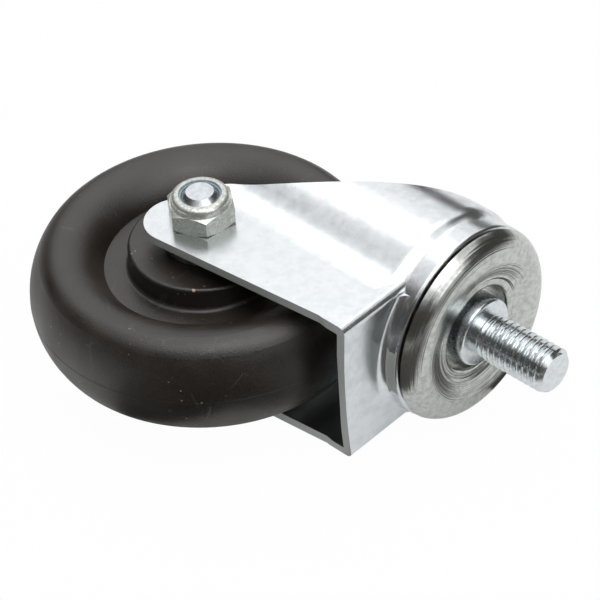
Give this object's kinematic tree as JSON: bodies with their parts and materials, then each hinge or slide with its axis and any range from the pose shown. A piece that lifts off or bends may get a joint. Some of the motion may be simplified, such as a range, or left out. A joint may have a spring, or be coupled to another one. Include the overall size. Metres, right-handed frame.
{
  "type": "threaded stem castor",
  "caption": "Swivel castor with a threaded stem: a solid black wheel on a bolted axle in a drawn steel fork that turns on balls under a pressed cup.",
  "frame": {"origin": "on the stem's axis, on the top face of the stem's collar, where the mounting plate rests", "axes": "+Z along the stem, upwards out of the collar; +X towards the trailing wheel; the axle lies along Y, with its nut on the -Y side"},
  "size_m": [0.0848, 0.0469, 0.111],
  "materials": {
    "stem_zinc": "bright zinc plate on a rolled thread",
    "cup_zinc": "bright zinc plate with concentric drawing marks",
    "ball_steel": "polished balls with a film of grease",
    "fork_zinc": "bright zinc plate, faintly blue, with drawing streaks",
    "cone_steel": "turned steel, zinc plated",
    "wheel_rubber": "matt black moulded rubber with dust and light scuffs",
    "bush_nylon": "plain moulded nylon",
    "sleeve_steel": "drawn tube, zinc plated",
    "washer_zinc": "punched washers, zinc plated",
    "bolt_zinc": "bright zinc plate",
    "nut_zinc": "zinc plate with a speckled forged surface",
    "insert_nylon": "pale blue nylon"
  },
  "bodies": {
    "mount": {"stem": "stem_zinc", "top_cup": "cup_zinc", "lower_cone": "cone_steel"},
    "fork": {"fork": "fork_zinc", "axle_sleeve": "sleeve_steel", "near_washer_1": "washer_zinc", "near_washer_2": "washer_zinc", "near_washer_3": "washer_zinc", "far_washer_1": "washer_zinc", "far_washer_2": "washer_zinc", "far_washer_3": "washer_zinc", "axle_bolt": "bolt_zinc", "axle_nut": "nut_zinc", "nut_insert": "insert_nylon"},
    "wheel": {"wheel": "wheel_rubber", "wheel_bush": "bush_nylon"},
    "upper_ball_ring": {"upper_balls": "ball_steel"},
    "lower_ball_ring": {"lower_balls": "ball_steel"}
  },
  "joints": [
    {"name": "swivel", "type": "hinge", "parent": "mount", "child": "fork", "pos_m": [0, 0, 0], "axis": [0, 0, 1], "continuous": true},
    {"name": "wheel_spin", "type": "hinge", "parent": "fork", "child": "wheel", "pos_m": [0.0247, 0, -0.05515], "axis": [0, 1, 0], "continuous": true},
    {"name": "upper_ball_orbit", "type": "hinge", "parent": "mount", "child": "upper_ball_ring", "pos_m": [0, 0, 0], "axis": [0, 0, 1], "continuous": true},
    {"name": "lower_ball_orbit", "type": "hinge", "parent": "mount", "child": "lower_ball_ring", "pos_m": [0, 0, 0], "axis": [0, 0, 1], "continuous": true}
  ],
  "couplings": [
    {"joint": "upper_ball_orbit", "follows": "swivel", "ratio": 0.5},
    {"joint": "lower_ball_orbit", "follows": "swivel", "ratio": 0.5}
  ]
}
